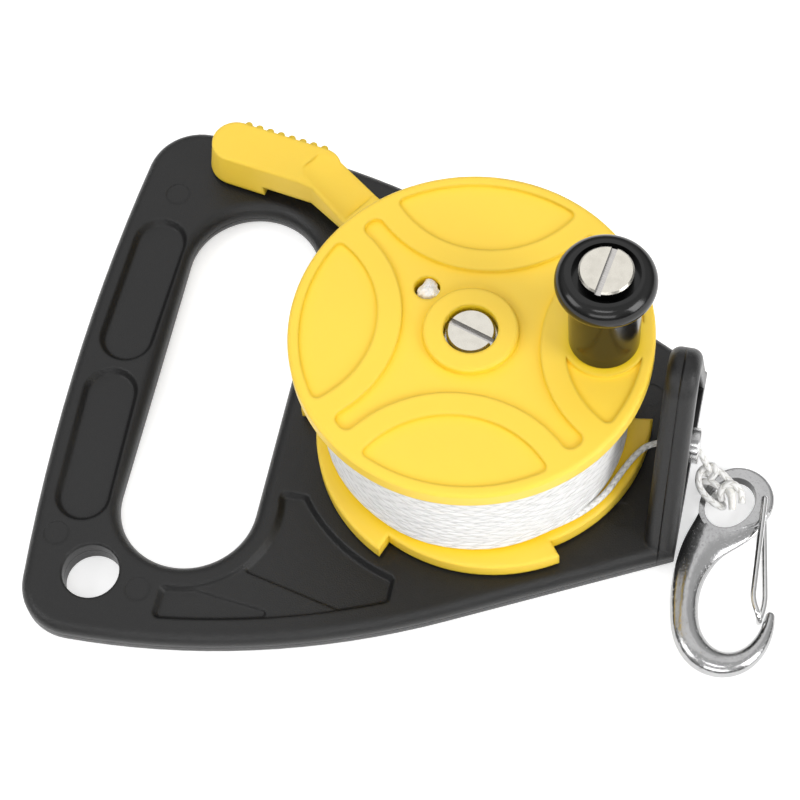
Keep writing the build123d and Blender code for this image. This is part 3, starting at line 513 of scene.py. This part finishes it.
line_radius = 0.0009
lead_route = [
    (0.0258, -0.0336, 0.0166),
    (0.0322, -0.0294, 0.0168),
    (0.0379, -0.0238, 0.0168),
    (0.0415, -0.0186, 0.0168),
    (0.0434, -0.0141, 0.0169),
    (0.0453, -0.0097, 0.0170),
    (0.0475, -0.0056, 0.0172),
    (0.0500, -0.0024, 0.0174),
    (0.0545, -0.0004, 0.0175),
    (0.0600, 0.0000, 0.0175),
    (0.0645, -0.0006, 0.0170),
    (0.0664, -0.0023, 0.0146),
    (0.0678, -0.0033, 0.0122),
    (0.0690, -0.0041, 0.0106),
]
lead_path = route(lead_route)
lead = tube("lead_braid", lead_path, line_radius)
lead.data.materials.append(line)
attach(lead, "frame")
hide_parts("line_lead")

# the tied end: a loop through the hook's eye, its bight over the hook's head, and the knot.
# The slack braid opens a little where it is bent, so these pieces are up to 15% thicker than the lead.
loop_route = [
    (0.0694, -0.0038, 0.0104),
    (0.0682, -0.0030, 0.0110),
    (0.0668, -0.0031, 0.0108),
    (0.0658, -0.0044, 0.0102),
    (0.0657, -0.0065, 0.0092),
    (0.0666, -0.0085, 0.0082),
    (0.0686, -0.0104, 0.0076),
    (0.0711, -0.0118, 0.0070),
    (0.0732, -0.0121, 0.0060),
    (0.0744, -0.0108, 0.0036),
    (0.0722, -0.0074, 0.0010),
    (0.0689, -0.0046, 0.0009),
    (0.0660, -0.0030, 0.0012),
    (0.0656, -0.0044, 0.0044),
    (0.0668, -0.0058, 0.0074),
    (0.0684, -0.0062, 0.0086),
    (0.0702, -0.0066, 0.0091),
    (0.0722, -0.0077, 0.0091),
    (0.0736, -0.0088, 0.0080),
]
bight_route = [
    (0.0684, -0.0046, 0.0096),
    (0.0688, -0.0034, 0.0108),
    (0.0700, -0.0031, 0.0110),
    (0.0716, -0.0034, 0.0106),
    (0.0735, -0.0046, 0.0100),
    (0.0753, -0.0058, 0.0092),
    (0.0768, -0.0070, 0.0082),
]
turn_route = [
    (0.0734, -0.0104, 0.0066),
    (0.0725, -0.0093, 0.0080),
    (0.0727, -0.0078, 0.0092),
    (0.0741, -0.0067, 0.0102),
    (0.0760, -0.0064, 0.0104),
    (0.0777, -0.0072, 0.0094),
    (0.0788, -0.0086, 0.0080),
    (0.0790, -0.0100, 0.0066),
]
tail_route = [
    (0.0744, -0.0070, 0.0088),
    (0.0754, -0.0086, 0.0090),
    (0.0763, -0.0106, 0.0085),
    (0.0766, -0.0131, 0.0074),
]
hitch_route = [
    (0.0672, -0.0046, 0.0086),
    (0.0676, -0.0026, 0.0100),
    (0.0690, -0.0022, 0.0116),
    (0.0702, -0.0032, 0.0118),
    (0.0702, -0.0048, 0.0104),
    (0.0688, -0.0056, 0.0090),
]
tail_radius = 0.0010
tail_swell = 0.00035
tail_path = route(tail_route)
tail_shares = [index / (len(tail_path) - 1) for index in range(len(tail_path))]
tail_radii = [tail_radius + tail_swell * math.sin(math.pi * share ** 0.6) for share in tail_shares]
loop = tube("loop_braid", route(loop_route), line_radius * 1.1, squash=0.9)
bight = tube("bight_braid", route(bight_route), line_radius * 1.15, squash=0.95)
turn = tube("knot_turn", route(turn_route), line_radius * 1.15)
tail = tube("knot_tail", tail_path, tail_radius, radii=tail_radii)
hitch = tube("knot_hitch", route(hitch_route), line_radius * 1.1)
for piece, material in ((loop, line), (bight, line), (turn, line), (tail, melted), (hitch, line)):
    piece.data.materials.append(material)
    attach(piece, "frame")
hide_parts("line_loop")
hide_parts("line_bight")
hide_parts("line_knot")

# ---------------------------------------------------------------- winding
# an under layer laid the other way, and the outer layer of close turns
low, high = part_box("line_core")
flange_gap = 0.0002
bottom = low.z + flange_gap
top = high.z - flange_gap
slant_height = 0.0009


def wound(name, radius, turns, hand, start, wander):
    """One layer of turns about Z, from the angle start on; wander is how far a turn strays from its level."""
    steps = 64
    rise = (top - bottom - 2 * line_radius) / turns
    path = []
    for step in range(int(turns * steps) + 1):
        angle = start + hand * full_turn * step / steps
        x, y = math.cos(angle), math.sin(angle)
        done = step / steps  # turns so far
        lean = 2.1 * noise.noise(Vector((done * 0.21, 3.3, 5.1)))
        sway = wander * noise.noise(Vector((x * 1.3, y * 1.3, done * 0.9))) + slant_height * math.sin(angle + lean)
        away = 0.5 * wander * noise.noise(Vector((x * 2.1, y * 2.1, 7.0 + done * 0.7)))
        level = min(max(bottom + line_radius + rise * done + sway, bottom + line_radius), top - line_radius)
        path.append(Vector(((radius + away) * x, (radius + away) * y, level)))
    return tube(name, path, line_radius, sides=10)


under = wound("winding_under", radius=0.0419, turns=22.0, hand=-1, start=0.4, wander=0.0005)
outer = wound("winding_outer", radius=0.0430, turns=24.0, hand=1, start=-0.6, wander=0.0007)
for piece in (under, outer):
    piece.data.materials.append(wound_line)
    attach(piece, "spool")
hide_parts("line_winding")
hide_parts("line_core")

# ---------------------------------------------------------------- melted stopper knot in the top flange
# a lump with three blunt corners, kept inside the box of its node
low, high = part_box("line_end_knot")
middle = (low + high) / 2
half = (high - low) / 2
lump = bmesh.new()
bmesh.ops.create_icosphere(lump, subdivisions=5, radius=1.0)
for vertex in lump.verts:
    way = vertex.co.normalized()
    corner = 0.13 * math.cos(3 * (math.atan2(way.y, way.x) - math.pi / 2))
    wave = 0.15 * noise.noise(way * 2.3 + Vector((3.1, 0.0, 1.7)))
    knobble = 0.1 * noise.noise(way * 6.0)
    swell = 1.0 + corner + wave + knobble
    place = Vector([centre + share * reach * swell for centre, share, reach in zip(middle, way, half)])
    vertex.co = [min(max(value, least), most) for value, least, most in zip(place, low, high)]
for face in lump.faces:
    face.smooth = True
end_knot = shown("end_knot", lump)
end_knot.data.materials.append(melted)
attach(end_knot, "spool")
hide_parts("line_end_knot")

# ---------------------------------------------------------------- floor
# just under the part. It glows for camera, mirror and see-through rays alone, so it shows white, lights
# nothing and still takes the shadow.
floor_reach = 3.0
floor_level = -0.0003
floor_glow = 0.46
corners = [(x * floor_reach, y * floor_reach, floor_level) for x, y in ((-1, -1), (1, -1), (1, 1), (-1, 1))]
floor_mesh = bpy.data.meshes.new("floor")
floor_mesh.from_pydata(corners, [], [(0, 1, 2, 3)])
floor = bpy.data.objects.new("floor", floor_mesh)
scene.collection.objects.link(floor)
s = Shader("pale_floor")
s.put("Base Color", rgb(0.86, 0.86, 0.86))
s.put("Roughness", 0.9)
s.put("Specular IOR Level", 0.0)
rays = s.add("ShaderNodeLightPath").outputs
mirrored = s.math("MAXIMUM", rays["Is Glossy Ray"], rays["Is Transmission Ray"])
seen = s.math("MAXIMUM", rays["Is Camera Ray"], mirrored)
glow = s.add("ShaderNodeEmission")
s.feed(glow.inputs["Color"], rgb(1.0, 1.0, 1.0))
s.feed(glow.inputs["Strength"], s.math("MULTIPLY", seen, floor_glow))
both = s.add("ShaderNodeAddShader")
s.feed(both.inputs[0], s.bsdf.outputs[0])
s.feed(both.inputs[1], glow.outputs[0])
s.feed(s.tree.nodes["Material Output"].inputs["Surface"], both.outputs[0])
floor_mesh.materials.append(s.material)

# ---------------------------------------------------------------- world
# white for the camera, and a sky that is dim at the horizon and brighter overhead for all else
sky_heights = (0.05, 0.7)
sky_strengths = (0.12, 0.68)
world = bpy.data.worlds.new("world")
scene.world = world
world.use_nodes = True
tree = world.node_tree
background = tree.nodes["Background"]
background.inputs["Color"].default_value = rgb(1.0, 1.0, 1.0)
ways = tree.nodes.new("ShaderNodeTexCoord")
split = tree.nodes.new("ShaderNodeSeparateXYZ")
sky = tree.nodes.new("ShaderNodeMapRange")
sky.interpolation_type = "SMOOTHSTEP"
for socket, value in zip(("From Min", "From Max", "To Min", "To Max"), (*sky_heights, *sky_strengths)):
    sky.inputs[socket].default_value = value
rays = tree.nodes.new("ShaderNodeLightPath")
brighter = tree.nodes.new("ShaderNodeMath")
brighter.operation = "MAXIMUM"
for source, target in (
    (ways.outputs["Generated"], split.inputs[0]),
    (split.outputs["Z"], sky.inputs["Value"]),
    (sky.outputs["Result"], brighter.inputs[0]),
    (rays.outputs["Is Camera Ray"], brighter.inputs[1]),
    (brighter.outputs[0], background.inputs["Strength"]),
):
    tree.links.new(source, target)

# ---------------------------------------------------------------- lamps
lamp_aim = Vector((0.0, 0.0, 0.02))
lamps = (
    # name, place, width, height, power
    ("top", (-0.35, 0.75, 1.4), 1.5, 1.5, 3.1),
    ("left", (-1.0, -0.5, 0.9), 0.6, 0.6, 4.1),
    ("front", (0.1, -1.0, 0.6), 0.9, 0.32, 3.0),
    ("over", (0.05, -0.55, 1.2), 0.5, 0.16, 1.6),
    ("right", (1.0, -0.3, 0.6), 0.5, 0.8, 7.6),
)
for name, place, width, height, power in lamps:
    softbox = bpy.data.lights.new(name, "AREA")
    softbox.shape = "RECTANGLE"
    softbox.size = width
    softbox.size_y = height
    softbox.energy = power
    lamp = bpy.data.objects.new(name, softbox)
    scene.collection.objects.link(lamp)
    lamp.location = place
    lamp.rotation_mode = "QUATERNION"
    lamp.rotation_quaternion = (lamp_aim - Vector(place)).to_track_quat("-Z", "Y")

scene.view_settings.view_transform = "Standard"
